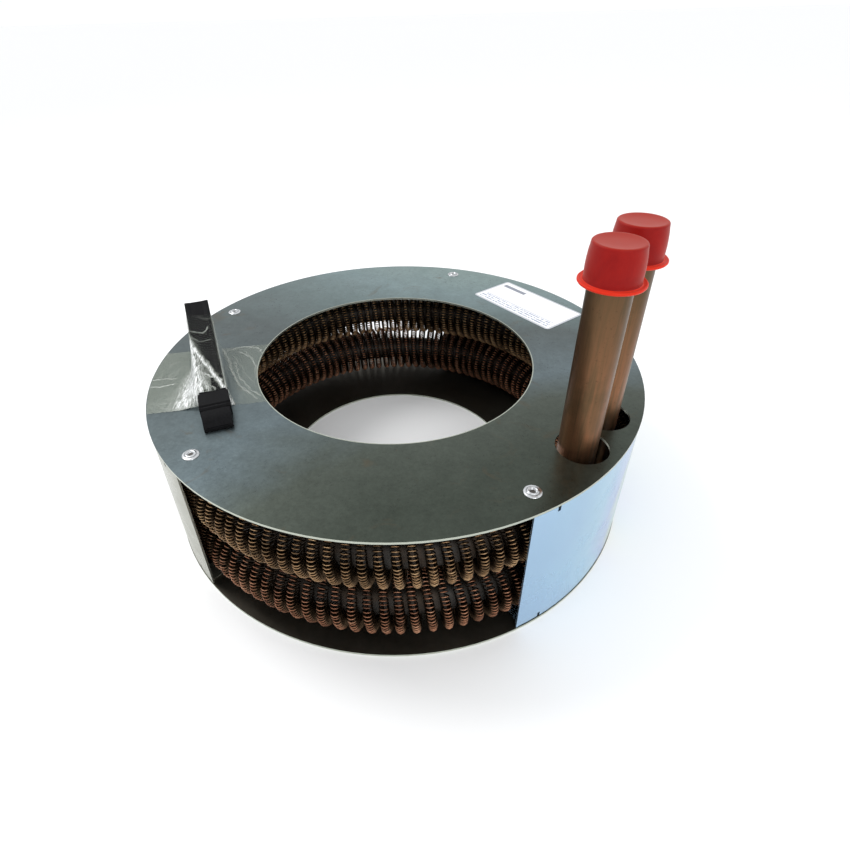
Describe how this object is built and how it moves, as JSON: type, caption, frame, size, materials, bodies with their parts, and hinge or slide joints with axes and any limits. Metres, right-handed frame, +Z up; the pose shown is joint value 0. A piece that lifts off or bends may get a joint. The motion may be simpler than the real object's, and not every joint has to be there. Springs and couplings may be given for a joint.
{
  "type": "ring-shaped finned-tube heat exchanger",
  "caption": "Ring-shaped heat exchanger: wire-finned copper tube rings in a sheet-metal ring casing, with two upright capped pipe stubs.",
  "frame": {"origin": "middle of the casing on the plane that it stands on", "axes": "+Z up along the casing's axis and the pipes, -Y towards the open front window, +X towards the side with the pipes"},
  "size_m": [0.34, 0.34, 0.2181],
  "materials": {
    "passivated_plate": "zinc plated and passivated, satin",
    "passivated_skin": "zinc plated and blue passivated, semi-gloss",
    "aged_copper": "annealed copper, brown and olive oxide",
    "fin_wire": "tinned and oxidised copper wire",
    "rivet_aluminium": "bright",
    "rivet_steel": "dull zinc",
    "red_plastic": "soft polyethylene, satin",
    "black_plastic": "satin",
    "label_paper": "white film with a silver border",
    "clear_film": "clear, wrinkled"
  },
  "bodies": {
    "casing": {"top_plate": "passivated_plate", "bottom_plate": "passivated_plate", "left_skin": "passivated_skin", "right_skin": "passivated_skin", "top_rivets": "rivet_aluminium", "top_rivet_stems": "rivet_steel", "lower_ring_tube": "aged_copper", "upper_ring_tube": "aged_copper", "lower_fin_wire": "fin_wire", "upper_fin_wire": "fin_wire", "front_header": "aged_copper", "back_header": "aged_copper", "front_header_plug": "aged_copper", "back_header_plug": "aged_copper", "rating_label": "label_paper", "fixing_strap": "black_plastic", "strap_hook": "black_plastic", "clear_film": "clear_film"},
    "front_cap": {"front_cap": "red_plastic"},
    "back_cap": {"back_cap": "red_plastic"}
  },
  "joints": [
    {"name": "front_cap_pull", "type": "slide", "parent": "casing", "child": "front_cap", "axis": [0, 0, 1], "range_m": [0, 0.04]},
    {"name": "back_cap_pull", "type": "slide", "parent": "casing", "child": "back_cap", "axis": [0, 0, 1], "range_m": [0, 0.04]}
  ]
}
